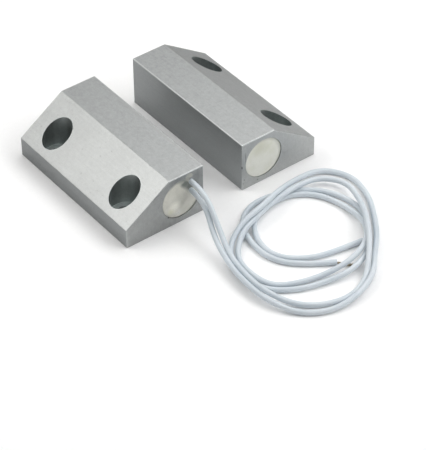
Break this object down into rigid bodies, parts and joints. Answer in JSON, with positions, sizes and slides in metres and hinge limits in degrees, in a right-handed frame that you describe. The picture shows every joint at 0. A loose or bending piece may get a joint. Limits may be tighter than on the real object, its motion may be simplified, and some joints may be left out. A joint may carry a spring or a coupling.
{
  "type": "door contact sensor",
  "caption": "Surface-mounted magnetic door contact: wedge-profile metal switch half with two free leads, and a matching magnet half across a gap.",
  "frame": {"origin": "centre of the switch half's base, on the mounting surface", "axes": "+X along both housings toward the end that the leads leave, +Y from the switch half toward the magnet half, +Z away from the mounting surface"},
  "size_m": [0.1032, 0.0654, 0.0156],
  "materials": {
    "satin_metal": "bead-blasted, fine matt grain with brighter edges",
    "grey_resin": "cast, slightly uneven satin",
    "cream_resin": "cast, flat satin",
    "lead_jacket": "soft satin extruded jacket",
    "copper": "bare stripped copper strands, dull",
    "glass": "clear",
    "soft_sleeve": "soft matt",
    "reed_alloy": "bright plated",
    "solder": "bright, smooth",
    "shrink_sleeve": "matt",
    "magnet_alloy": "ground, dull"
  },
  "bodies": {
    "switch_half": {"switch_housing": "satin_metal", "switch_potting": "grey_resin", "lead_a": "lead_jacket", "lead_b": "lead_jacket", "bare_end_a": "copper", "bare_end_b": "copper", "inner_lead_a": "lead_jacket", "inner_lead_b": "lead_jacket", "inner_conductor_a": "copper", "inner_conductor_b": "copper", "reed_glass": "glass", "reed_cushion": "soft_sleeve", "reed_leg_near": "reed_alloy", "reed_leg_far": "reed_alloy", "solder_near": "solder", "solder_far": "solder", "sleeve_near": "shrink_sleeve", "sleeve_far": "shrink_sleeve"},
    "magnet_half": {"magnet_housing": "satin_metal", "bar_magnet": "magnet_alloy", "magnet_potting_near": "cream_resin", "magnet_potting_far": "cream_resin"},
    "near_blade": {"reed_blade_near": "reed_alloy"},
    "far_blade": {"reed_blade_far": "reed_alloy"}
  },
  "joints": [
    {"name": "magnet_travel", "type": "slide", "parent": "switch_half", "child": "magnet_half", "axis": [0, 1, 0], "range_m": [-0.012, 0.06]},
    {"name": "near_blade_flex", "type": "hinge", "parent": "switch_half", "child": "near_blade", "pos_m": [0.00775, 0.00825, 0.00877], "axis": [0, -1, 0], "range_deg": [0, 0.68], "stiffness_Nm_per_rad": 0.0001},
    {"name": "far_blade_flex", "type": "hinge", "parent": "switch_half", "child": "far_blade", "pos_m": [-0.00775, 0.00825, 0.00833], "axis": [0, -1, 0], "range_deg": [0, 0.68], "stiffness_Nm_per_rad": 0.0001}
  ],
  "couplings": [
    {"joint": "far_blade_flex", "follows": "near_blade_flex", "ratio": 1}
  ]
}
